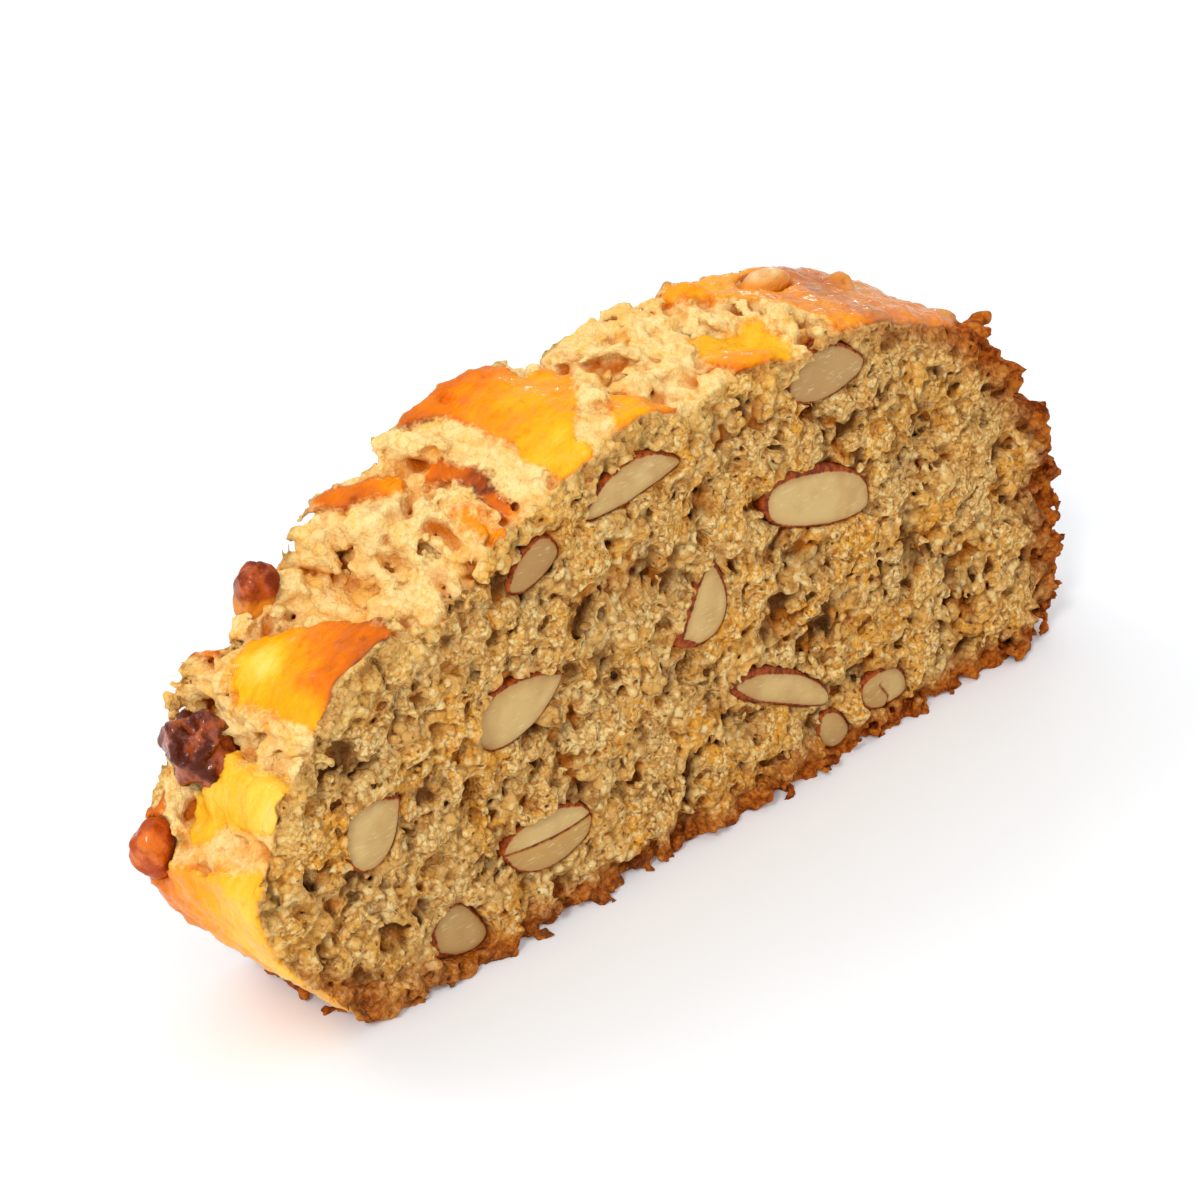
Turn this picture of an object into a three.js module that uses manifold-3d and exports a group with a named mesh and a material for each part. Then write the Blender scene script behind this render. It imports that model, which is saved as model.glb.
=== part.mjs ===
// Almond biscotti: one twice-baked slice with its cut almonds and toasted nut pieces.
// Millimetres, +Z up, +X along the slice, -Y out of the cut face that shows.
import * as THREE from 'three';
import { mergeVertices } from 'three/addons/utils/BufferGeometryUtils.js';
import { ImprovedNoise } from 'three/addons/math/ImprovedNoise.js';
import Module from 'manifold-3d';

// Driving dimensions
const sliceThickness = 15.5; // between the two cut faces
const baseLength = 88; // flat base that the slice stands on
const gap = 0.3; // clearance round every nut piece
const cellSize = 1.85; // spacing of the solid's surface points
const thicknessCells = 8; // surface cells from one cut face to the other
const edgeWear = 0.7; // how far the cut faces' rims are worn back
const crumbRelief = 0.45; // dents of the cut faces
const crumbProud = 0.1; // how far a bump may stand out of a cut face
const holeDepth = 1.1; // the deepest holes of the crumb
const plateRelief = 0.3; // bumps of the glazed plates
const brokenRelief = 0.95; // bumps of the broken dough between the plates and of the right-hand end
const crumbBumps = { fine: 2.3, hole: 3.1, broad: 7, nearSeed: 3, farSeed: 11 }; // widths and seeds
const crustBumps = { fine: 3.2, broad: 7, seed: 21 };
const lowestRim = 0.4; // the crust's bumps stay this far above the base

// The loaf's section from the front of the base over the top and down again, [x, z]
const loafOutline = [
  [0, 0], [-5, 5], [-10.5, 11.5], [-12, 17.3], [-10, 23.5], [-6.5, 28.7], [-1, 33], [6, 36],
  [14, 39.5], [24, 42.7], [36, 43.8], [48, 44], [58, 43.2], [68.3, 40.5], [77.8, 35.6], [84.8, 28.4],
  [88.8, 19.5], [91, 10], [91.3, 4], [baseLength, 0],
];

// Lines that cross the crust from the near cut face to the far one. Each is placed at a
// distance along the crust and stands out of the loaf's outline by its lift: [distance, lift].
// Broken lines run through rough dough, and the others over a glazed plate.
const sideLines = [
  { name: 'base corner', near: [0, 0], far: [0, 0] },
  { name: 'end bulge', near: [20, -0.3], far: [18, 0] },
  { name: 'top of the low plate', near: [22.5, 0.5], far: [21, 0.5] },
  { name: 'crumbly strip', near: [25.6, -0.9], far: [25.5, -1.8], broken: true },
  { name: 'foot of the end plate', near: [28, 0.1], far: [28.5, -1.6] },
  { name: 'top of the end plate', near: [31.2, 0.4], far: [32, -0.4] },
  { name: 'first crack', near: [33.6, -2.4], far: [33.2, -1.8], broken: true },
];
const topLines = [
  sideLines[sideLines.length - 1],
  { name: 'lower edge of the big plate', near: [36.2, 0.5], far: [35, 0.2] },
  { name: 'middle of the big plate', near: [41, 1.3], far: [37.5, 1.4] },
  { name: 'upper edge of the big plate', near: [47.6, 1.3], far: [39.5, 0.2] },
  { name: 'valley side', near: [50.3, -1.8], far: [43.5, -1.6], broken: true },
  { name: 'valley floor', near: [53.5, -2.8], far: [47.4, -2.4], broken: true },
  { name: 'chunk wall', near: [56.3, -1], far: [49.4, 3], broken: true },
  { name: 'chunk top', near: [60, 0.6], far: [52, 4.1], broken: true },
  { name: 'chunk groove', near: [62.2, 0.1], far: [58.4, 1.6], broken: true },
  { name: 'foot of the orange plate', near: [65, -0.3], far: [60.6, 3.9] },
  { name: 'crown of the orange plate', near: [71.5, 1.2], far: [70, 3.6] },
  { name: 'end of the orange plate', near: [78, 0.9], far: [73.5, 2.6] },
  { name: 'brown crevice', near: [81.5, -0.9], far: [76, 0.2], broken: true },
  { name: 'foot of the small plate', near: [84.5, 0.4], far: [79, 1.6] },
  { name: 'end of the small plate', near: [92, 0.3], far: [87, 1.5] },
  { name: 'dark crack', near: [95, -0.9], far: [90.5, 0.4], broken: true },
  { name: 'foot of the long plate', near: [97.8, 0.8], far: [93.5, 1.7] },
  { name: 'middle of the long plate', near: [112, 0.2], far: [110, 1] },
  { name: 'end of the long plate', near: [126, -0.4], far: [124, 0.2] },
  { name: 'right shoulder', near: [134, -0.6], far: [134, -0.6], broken: true },
];

// Almonds cut through by the near face: centre, length, width, turn in degrees, and how
// much narrower the pointed end is
const nearAlmonds = [
  { x: 30.3, z: 38.9, length: 11.4, width: 4.4, turn: 8, point: 0.3 },
  { x: 53.4, z: 28.8, length: 14.6, width: 6.2, turn: -14, point: 0.15 },
  { x: 16.3, z: 23.1, length: 10.8, width: 5.2, turn: 9, point: 0.35 },
  { x: 20.1, z: 9.0, length: 11.2, width: 5.6, turn: -9, point: 0.1 },
  { x: 0.2, z: 18.7, length: 7.6, width: 6.4, turn: 68, point: 0.15 },
  { x: 39.0, z: 24.1, length: 8.8, width: 4.6, turn: 66, point: 0.4 },
  { x: 49.5, z: 10.7, length: 14.8, width: 3.9, turn: -26, point: -0.1 },
  { x: 64.0, z: 5.2, length: 7.0, width: 4.0, turn: -14, point: 0.1 },
  { x: 57.3, z: 3.5, length: 4.6, width: 3.6, turn: -40, point: 0 },
  { x: 54.2, z: 40.5, length: 9.6, width: 5.0, turn: -8, point: 0.25 },
  { x: 18.9, z: 35.3, length: 6.6, width: 3.6, turn: 28, point: 0.2 },
  { x: 10.2, z: 4.7, length: 8.0, width: 4.8, turn: -42, point: 0.2 },
];
// Almonds of the far face, seen from behind it: x then runs the other way
const farAlmonds = [
  { x: -72.5, z: 25.5, length: 12.2, width: 5.6, turn: 24, point: 0.3 },
  { x: -60.0, z: 11.0, length: 13.4, width: 4.8, turn: -12, point: 0.15 },
  { x: -55.8, z: 33.5, length: 9.2, width: 5.4, turn: 70, point: 0.3 },
  { x: -41.5, z: 20.5, length: 11.0, width: 6.0, turn: 12, point: 0.2 },
  { x: -34.5, z: 36.5, length: 12.6, width: 4.4, turn: -16, point: 0.25 },
  { x: -28.5, z: 8.0, length: 10.4, width: 5.2, turn: 38, point: 0.1 },
  { x: -19.0, z: 27.0, length: 9.4, width: 4.6, turn: -52, point: 0.35 },
  { x: -7.0, z: 13.5, length: 11.6, width: 5.6, turn: 8, point: 0.2 },
  { x: -79.5, z: 8.5, length: 7.4, width: 4.6, turn: 60, point: 0.1 },
];
const almondDepthShare = 0.8; // an almond goes in by this share of its width
const almondCrown = 0.15; // the cut almond stands this proud of the face
const almondSides = 14; // flat facets round an almond
const nutBumpWidth = 0.55; // the bumps of a nut piece, as a share of its half size

// Nut pieces that stick out of the crust: centre, half sizes and roughness
const crustNuts = [
  { name: 'toasted_nut_dark', at: [-7.7, 11.6, 25.4], half: [2.7, 3.2, 3.1], rough: 0.28 },
  { name: 'toasted_nut_tip', at: [0.6, 13.6, 35.4], half: [1.9, 1.7, 2.6], rough: 0.24 },
  { name: 'toasted_nut_glazed', at: [-11.6, 13.4, 17.0], half: [1.9, 1.9, 2.6], rough: 0.1 },
  { name: 'almond_top', at: [58.5, 11.6, 43.9], half: [3.0, 1.7, 1.3], rough: 0.04 },
];

const crumbMaterial = new THREE.MeshStandardMaterial({ color: 0xcfa468, roughness: 0.9, metalness: 0 });
const almondMaterial = new THREE.MeshStandardMaterial({ color: 0xe2d2a6, roughness: 0.6, metalness: 0 });
const nutMaterial = new THREE.MeshStandardMaterial({ color: 0x7a3a1e, roughness: 0.4, metalness: 0 });

const noise = new ImprovedNoise();
const lerp = THREE.MathUtils.lerp;
const outlineCurve = new THREE.SplineCurve(loafOutline.map(([x, z]) => new THREE.Vector2(x, z)));
outlineCurve.arcLengthDivisions = 800;
const crustLength = outlineCurve.getLength();
const sliceMiddle = new THREE.Vector2(baseLength / 2, 10);

// Smooth bumps of a given width, from about -1 to 1
function bumps(point, width, seed) {
  return 1.6 * noise.noise(point.x / width + seed, point.y / width - seed, point.z / width + seed * width);
}

// Splits the stretches between crossing lines into cells of about the same size
function stopsAlong(lines) {
  const stops = [];
  for (let k = 0; k < lines.length - 1; k += 1) {
    const span = (lines[k + 1].near[0] - lines[k].near[0] + lines[k + 1].far[0] - lines[k].far[0]) / 2;
    const cells = Math.max(1, Math.round(span / cellSize));
    for (let cell = 0; cell < cells; cell += 1) {
      stops.push(between(lines[k], lines[k + 1], cell / cells));
    }
  }
  stops.push(lines[lines.length - 1]);
  return stops;
}

function roughnessOf(line) {
  return line.roughness ?? (line.broken ? brokenRelief : plateRelief);
}

function between(from, to, share) {
  return {
    near: [lerp(from.near[0], to.near[0], share), lerp(from.near[1], to.near[1], share)],
    far: [lerp(from.far[0], to.far[0], share), lerp(from.far[1], to.far[1], share)],
    roughness: lerp(roughnessOf(from), roughnessOf(to), share),
  };
}

const leftStops = stopsAlong(sideLines);
const topStops = stopsAlong(topLines);
const shoulder = topLines[topLines.length - 1];
const baseEnd = { near: [crustLength, 0], far: [crustLength, 0], broken: true };
const rightStops = leftStops.map((stop, row) => between(baseEnd, shoulder, row / (leftStops.length - 1)));
const lengthCells = topStops.length - 1;
const heightCells = leftStops.length - 1;

// A point of the crust for a stop along it and a share of the thickness
function crustPoint(stop, share) {
  const distance = lerp(stop.near[0], stop.far[0], share);
  const lift = lerp(stop.near[1], stop.far[1], share);
  const along = Math.min(distance / crustLength, 1);
  const point = outlineCurve.getPointAt(along);
  const tangent = outlineCurve.getTangentAt(along);
  return new THREE.Vector2(point.x - tangent.y * lift, point.y + tangent.x * lift);
}

// Fills the loaf's section between its base, its two ends and its top
function sectionPoint(column, row, share) {
  const a = column / lengthCells;
  const c = row / heightCells;
  const base = new THREE.Vector2(a * baseLength, 0);
  const top = crustPoint(topStops[column], share);
  const left = crustPoint(leftStops[row], share);
  const right = crustPoint(rightStops[row], share);
  const topLeft = crustPoint(topStops[0], share);
  const topRight = crustPoint(shoulder, share);
  const blend = base.multiplyScalar(1 - c).addScaledVector(top, c);
  blend.addScaledVector(left, 1 - a).addScaledVector(right, a);
  blend.addScaledVector(topLeft, -c * (1 - a)).addScaledVector(topRight, -c * a);
  blend.x -= a * (1 - c) * baseLength;
  return blend;
}

// The crumb's dents: fine and broad ones, with here and there a deeper hole
function crumbDent(point, seed) {
  const fine = bumps(point, crumbBumps.fine, seed);
  const broad = bumps(point, crumbBumps.broad, seed);
  const hole = THREE.MathUtils.smoothstep(bumps(point, crumbBumps.hole, seed), 0.35, 0.9);
  const dent = crumbRelief * (0.4 + 0.6 * fine + 0.5 * broad) + holeDepth * hole;
  return Math.max(dent, -crumbProud);
}

// The biscuit's outer surface: a box of cells bent to the loaf's section
function biscuitSurface() {
  const box = new THREE.BoxGeometry(1, 1, 1, lengthCells, thicknessCells, heightCells);
  const places = box.getAttribute('position');
  for (let k = 0; k < places.count; k += 1) {
    const column = Math.round((places.getX(k) + 0.5) * lengthCells);
    const layer = Math.round((places.getY(k) + 0.5) * thicknessCells);
    const row = Math.round((places.getZ(k) + 0.5) * heightCells);
    const section = sectionPoint(column, row, layer / thicknessCells);
    const point = new THREE.Vector3(section.x, (layer / thicknessCells) * sliceThickness, section.y);
    const onRim = column === 0 || column === lengthCells || row === heightCells;
    const nearFace = layer === 0;
    const farFace = layer === thicknessCells;
    if (onRim && row > 0) {
      wearRim(point, roughnessOf(rimStop(column, row)), nearFace || farFace);
    }
    if (nearFace) {
      point.y += onRim ? edgeWear : crumbDent(point, crumbBumps.nearSeed);
    }
    if (farFace) {
      point.y -= onRim ? edgeWear : crumbDent(point, crumbBumps.farSeed);
    }
    places.setXYZ(k, point.x, point.y, row === 0 ? 0 : point.z);
  }
  return closed(box);
}

function rimStop(column, row) {
  if (row === heightCells) {
    return topStops[column];
  }
  return column === 0 ? leftStops[row] : rightStops[row];
}

// Roughens a rim point along the line from the slice's middle
function wearRim(point, roughness, atFace) {
  const outward = new THREE.Vector2(point.x, point.z).sub(sliceMiddle).normalize();
  const fine = bumps(point, crustBumps.fine, crustBumps.seed);
  const broad = bumps(point, crustBumps.broad, crustBumps.seed);
  const shift = roughness * (fine + 0.4 * broad) - (atFace ? edgeWear / 2 : 0);
  point.x += outward.x * shift;
  point.z = Math.max(point.z + outward.y * shift, lowestRim);
}

// Leaves only the places of a geometry, with shared corners merged
function closed(geometry) {
  geometry.deleteAttribute('normal');
  geometry.deleteAttribute('uv');
  return mergeVertices(geometry, 1e-4);
}

// A cut almond: flat crown outwards (-Y), rounded back inwards. grow makes its pocket.
function almondShape({ length, width, point }, grow, outwards) {
  const shape = new THREE.SphereGeometry(1, almondSides, 6);
  const places = shape.getAttribute('position');
  const depth = width * almondDepthShare + grow;
  for (let k = 0; k < places.count; k += 1) {
    const along = places.getX(k);
    const deep = places.getY(k);
    const narrow = 1 - point * along;
    const across = places.getZ(k) * narrow * (width / 2 + grow);
    places.setXYZ(k, along * (length / 2 + grow), deep * (deep > 0 ? depth : outwards), across);
  }
  return closed(shape);
}

// A craggy nut piece; grow makes its pocket
function nutShape({ half, rough }, grow) {
  const shape = closed(new THREE.IcosahedronGeometry(1, 2));
  const places = shape.getAttribute('position');
  for (let k = 0; k < places.count; k += 1) {
    const point = new THREE.Vector3().fromBufferAttribute(places, k);
    const swell = 1 + rough * bumps(point, nutBumpWidth, half[0]);
    places.setXYZ(k, point.x * (half[0] * swell + grow), point.y * (half[1] * swell + grow),
      point.z * (half[2] * swell + grow));
  }
  return shape;
}

// Places a piece by a holder, and gives the same place to its pocket
function holderAt(x, y, z, turn, facesBack) {
  const holder = new THREE.Object3D();
  holder.rotation.order = 'ZYX';
  holder.rotation.set(0, THREE.MathUtils.degToRad(-turn), facesBack ? Math.PI : 0);
  holder.position.set(x, y, z);
  holder.updateMatrix();
  return holder;
}

const wasm = await Module();
wasm.setup();

function solidOf(geometry) {
  return new wasm.Manifold(new wasm.Mesh({
    numProp: 3,
    vertProperties: Float32Array.from(geometry.getAttribute('position').array),
    triVerts: Uint32Array.from(geometry.index.array),
  }));
}

function geometryOf(solid) {
  const mesh = solid.getMesh();
  const geometry = new THREE.BufferGeometry();
  geometry.setAttribute('position', new THREE.BufferAttribute(mesh.vertProperties, 3));
  geometry.setIndex(new THREE.BufferAttribute(mesh.triVerts, 1));
  return geometry;
}

const slice = new THREE.Group();
const pocketReach = 3; // a pocket's cutter runs this far out of the face
let biscuit = solidOf(biscuitSurface());

function addPiece(name, material, geometry, pocket, holder) {
  biscuit = biscuit.subtract(solidOf(pocket.applyMatrix4(holder.matrix)));
  const mesh = new THREE.Mesh(geometry, material);
  mesh.name = name;
  mesh.applyMatrix4(holder.matrix);
  slice.add(mesh);
}

function addAlmonds(almonds, label, y, facesBack) {
  almonds.forEach((almond, k) => {
    const name = `${label}_${String(k + 1).padStart(2, '0')}`;
    const holder = holderAt(facesBack ? -almond.x : almond.x, y, almond.z, almond.turn, facesBack);
    addPiece(name, almondMaterial, almondShape(almond, 0, almondCrown),
      almondShape(almond, gap, pocketReach), holder);
  });
}

addAlmonds(nearAlmonds, 'almond_near', 0, false);
addAlmonds(farAlmonds, 'almond_far', sliceThickness, true);
for (const nut of crustNuts) {
  const material = nut.name.startsWith('almond') ? almondMaterial : nutMaterial;
  addPiece(nut.name, material, nutShape(nut, 0), nutShape(nut, gap), holderAt(...nut.at, 0, false));
}

const biscuitMesh = new THREE.Mesh(geometryOf(biscuit), crumbMaterial);
biscuitMesh.name = 'biscuit';
slice.add(biscuitMesh);

// The origin is under the middle of the slice, on the surface that it stands on
const bounds = new THREE.Box3().setFromObject(slice, true);
const middle = bounds.getCenter(new THREE.Vector3());
slice.position.set(-middle.x, -middle.y, -bounds.min.z);

export default slice;
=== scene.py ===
import math
import bpy
import bmesh
import numpy as np
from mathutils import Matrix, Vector, noise


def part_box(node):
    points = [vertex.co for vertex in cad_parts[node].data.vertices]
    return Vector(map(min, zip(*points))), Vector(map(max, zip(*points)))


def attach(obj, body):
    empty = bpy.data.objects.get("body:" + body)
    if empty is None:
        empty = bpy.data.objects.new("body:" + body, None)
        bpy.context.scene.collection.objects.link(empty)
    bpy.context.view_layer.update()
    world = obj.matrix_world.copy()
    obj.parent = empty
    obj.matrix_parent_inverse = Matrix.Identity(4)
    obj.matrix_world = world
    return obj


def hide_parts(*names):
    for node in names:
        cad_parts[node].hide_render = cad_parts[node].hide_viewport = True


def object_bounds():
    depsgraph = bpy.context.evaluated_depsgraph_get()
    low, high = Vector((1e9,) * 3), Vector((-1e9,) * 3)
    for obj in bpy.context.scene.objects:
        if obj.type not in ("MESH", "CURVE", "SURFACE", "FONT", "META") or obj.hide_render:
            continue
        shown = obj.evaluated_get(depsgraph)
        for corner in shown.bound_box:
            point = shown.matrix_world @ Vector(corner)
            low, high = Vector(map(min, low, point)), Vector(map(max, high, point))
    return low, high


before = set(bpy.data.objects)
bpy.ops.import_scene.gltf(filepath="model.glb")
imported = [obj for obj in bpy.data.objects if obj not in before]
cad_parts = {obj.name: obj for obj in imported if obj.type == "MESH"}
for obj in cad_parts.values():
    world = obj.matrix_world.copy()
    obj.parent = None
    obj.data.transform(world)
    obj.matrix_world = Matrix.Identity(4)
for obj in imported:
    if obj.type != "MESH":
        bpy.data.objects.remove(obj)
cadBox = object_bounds()
mm = 0.001
perMetre = 1000
scene = bpy.context.scene
print("frame loaded:", len(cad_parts), "nodes")


class Wire:
    # one output of a node, with the operators that the maths below uses
    def __init__(self, graph, socket):
        self.graph = graph
        self.socket = socket

    def out(self, name):
        return Wire(self.graph, self.socket.node.outputs[name])

    def maths(self, operation, *values):
        sockets = dict(enumerate(values))
        return self.graph.node("ShaderNodeMath", {"operation": operation}, sockets)

    def __add__(self, other):
        return self.maths("ADD", self, other)

    def __sub__(self, other):
        return self.maths("SUBTRACT", self, other)

    def __rsub__(self, other):
        return self.maths("SUBTRACT", other, self)

    def __mul__(self, other):
        return self.maths("MULTIPLY", self, other)

    def __truediv__(self, other):
        return self.maths("DIVIDE", self, other)

    __radd__ = __add__
    __rmul__ = __mul__

    def over(self, other):  # the larger of the two
        return self.maths("MAXIMUM", self, other)

    def under(self, other):  # the smaller of the two
        return self.maths("MINIMUM", self, other)

    def step(self, low, high):  # 0 at low and 1 at high, eased
        sockets = {"Value": self, "From Min": low, "From Max": high}
        return self.graph.node("ShaderNodeMapRange", {"interpolation_type": "SMOOTHSTEP"}, sockets)

    def vector(self, operation, other=None, output="Vector"):
        sockets = {0: self} if other is None else {0: self, 1: other}
        if operation == "SCALE":
            sockets = {0: self, "Scale": other}
        return self.graph.node("ShaderNodeVectorMath", {"operation": operation}, sockets, output)

    def part(self, axis):
        return self.graph.node("ShaderNodeSeparateXYZ", {}, {0: self}, axis)


class Graph:
    # a node tree that is written as expressions
    def __init__(self, tree):
        self.tree = tree

    def node(self, kind, settings=None, sockets=None, output=0):
        made = self.tree.nodes.new(kind)
        for name, value in (settings or {}).items():
            if name == "stops":
                ramp = made.color_ramp
                while len(ramp.elements) < len(value):
                    ramp.elements.new(0.5)
                for element, (place, colour) in zip(ramp.elements, value):
                    element.position = place
                    element.color = (*colour, 1)
            else:
                setattr(made, name, value)
        for name, value in (sockets or {}).items():
            if isinstance(value, Wire):
                self.tree.links.new(value.socket, made.inputs[name])
            else:
                made.inputs[name].default_value = value
        return Wire(self, made.outputs[output])

    def noise(self, place, size, detail=2.0, roughness=0.5, output=0):
        sockets = {"Vector": place, "Scale": 1 / size, "Detail": detail, "Roughness": roughness}
        return self.node("ShaderNodeTexNoise", {"noise_dimensions": "3D"}, sockets, output)

    def cells(self, place, size):
        settings = {"voronoi_dimensions": "3D", "feature": "F1"}
        return self.node("ShaderNodeTexVoronoi", settings, {"Vector": place, "Scale": 1 / size}, "Distance")

    def ramp(self, value, stops):
        return self.node("ShaderNodeValToRGB", {"stops": stops}, {0: value}, "Color")

    def mix(self, factor, first, second):
        sockets = {0: factor, 6: colourValue(first), 7: colourValue(second)}
        return self.node("ShaderNodeMix", {"data_type": "RGBA"}, sockets, 2)

    def attribute(self, name, output="Fac"):
        return self.node("ShaderNodeAttribute", {"attribute_name": name}, {}, output)


def colourValue(value):
    return value if isinstance(value, Wire) else (*value, 1)


def tint(red, green, blue):  # a colour from screen values, as the shaders want it
    return tuple(((v / 255 + 0.055) / 1.055) ** 2.4 if v > 10 else v / 3295 for v in (red, green, blue))


def newMaterial(name):
    material = bpy.data.materials.new(name)
    material.use_nodes = True
    graph = Graph(material.node_tree)
    shader = material.node_tree.nodes["Principled BSDF"]
    return material, graph, shader


def connect(graph, shader, sockets):
    for name, value in sockets.items():
        if isinstance(value, Wire):
            graph.tree.links.new(value.socket, shader.inputs[name])
        else:
            shader.inputs[name].default_value = value


studio = {
    "cameraPlace": (-199.208, -187.237, 175.377),  # mm, worked out from the photo's base lines
    "azimuth": -45.954,
    "elevation": 29.413,
    "lens": 108,
    "sky": (0.42, 0.90),  # strength at the horizon and overhead
    "lamps": {  # direction from the slice, distance m, size m, power W, colour
        "backLamp": ((-0.40, 0.50, 0.76), 2.0, 0.70, 5.0, (1.0, 0.99, 0.97)),
        "leftLamp": ((-0.68, -0.34, 0.65), 2.0, 0.38, 15.0, (1.0, 0.985, 0.96)),
        "glintLamp": ((0.72, 0.58, 0.26), 2.0, 0.16, 1.1, (1.0, 1.0, 1.0)),
    },
}

camera = bpy.data.objects.new("camera", bpy.data.cameras.new("camera"))
scene.collection.objects.link(camera)
scene.camera = camera
camera.location = Vector(studio["cameraPlace"]) * mm
camera.rotation_euler = (math.radians(90 - studio["elevation"]), 0, math.radians(studio["azimuth"]))
camera.data.lens = studio["lens"]
camera.data.sensor_width = 36
camera.data.clip_start = 0.01
scene.view_settings.view_transform = "Standard"

world = bpy.data.worlds.new("studioSky")
world.use_nodes = True
atHorizon, overhead = studio["sky"]
skyGraph = Graph(world.node_tree)
skyHeight = skyGraph.node("ShaderNodeTexCoord", {}, {}, "Generated").part("Z").step(-0.1, 0.7)
connect(skyGraph, world.node_tree.nodes["Background"], {
    "Color": (1.0, 1.0, 1.0, 1), "Strength": skyHeight * (overhead - atHorizon) + atHorizon,
})
scene.world = world

for lampName, (direction, distance, size, power, colour) in studio["lamps"].items():
    lampData = bpy.data.lights.new(lampName, "AREA")
    lampData.shape = "DISK"
    lampData.size = size
    lampData.energy = power
    lampData.color = colour
    lamp = bpy.data.objects.new(lampName, lampData)
    scene.collection.objects.link(lamp)
    lamp.location = Vector(direction).normalized() * distance + Vector((0, 0, 0.02))
    lamp.rotation_euler = Vector(direction).to_track_quat("Z", "Y").to_euler()

floorMesh = bpy.data.meshes.new("floor")
bm = bmesh.new()
bmesh.ops.create_grid(bm, x_segments=1, y_segments=1, size=3)
bm.to_mesh(floorMesh)
bm.free()
floor = bpy.data.objects.new("floor", floorMesh)
scene.collection.objects.link(floor)
floorMaterial, graph, shader = newMaterial("whiteBoard")
connect(graph, shader, {
    "Base Color": (0.90, 0.92, 0.945, 1), "Roughness": 0.85, "Specular IOR Level": 0.2,
    "Emission Color": (0.8, 0.92, 1.0, 1), "Emission Strength": 0.08,
})
floorMaterial.cycles.emission_sampling = "NONE"
floorMesh.materials.append(floorMaterial)
print("camera, lamps and floor made")


loaf = {
    "shift": (-39.421, -7.75),  # from the loaf's lower left corner to the frame, mm
    "crust": [
        (0, 0), (-5, 5), (-10.5, 11.5), (-12, 17.3), (-10, 23.5), (-6.5, 28.7), (-1, 33), (6, 36),
        (14, 39.5), (24, 42.7), (36, 43.8), (48, 44), (58, 43.2), (68.3, 40.5), (77.8, 35.6),
        (84.8, 28.4), (88.8, 19.5), (91, 10), (91.3, 4), (88, 0),
    ],
    "base": 88,
    # how far the crust's brown reaches into the cut faces, mm, at places round the loaf
    "brownBand": [
        (0, 6.5), (4, 5.2), (9, 2.6), (16, 1.2), (60, 0.8), (84, 1.0), (105, 1.5), (113, 2.6),
        (121, 4.6), (130, 5.4), (143, 6.2), (155, 6.6), (163, 6.0), (170, 4.8), (180, 3.4), (192, 3.8),
        (204, 5.2), (216, 3.4), (230, 3.6), (245, 5.0), (253, 5.5),
    ],
    # how deep the colour of the baked skin is at those places, 0 to 1
    "brownDepth": [
        (0, 0.85), (6, 0.7), (14, 0.35), (60, 0.12), (84, 0.2), (105, 0.4), (113, 0.6), (121, 0.95),
        (165, 1.0), (200, 0.9), (240, 0.8), (253, 0.6),
    ],
}

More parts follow.
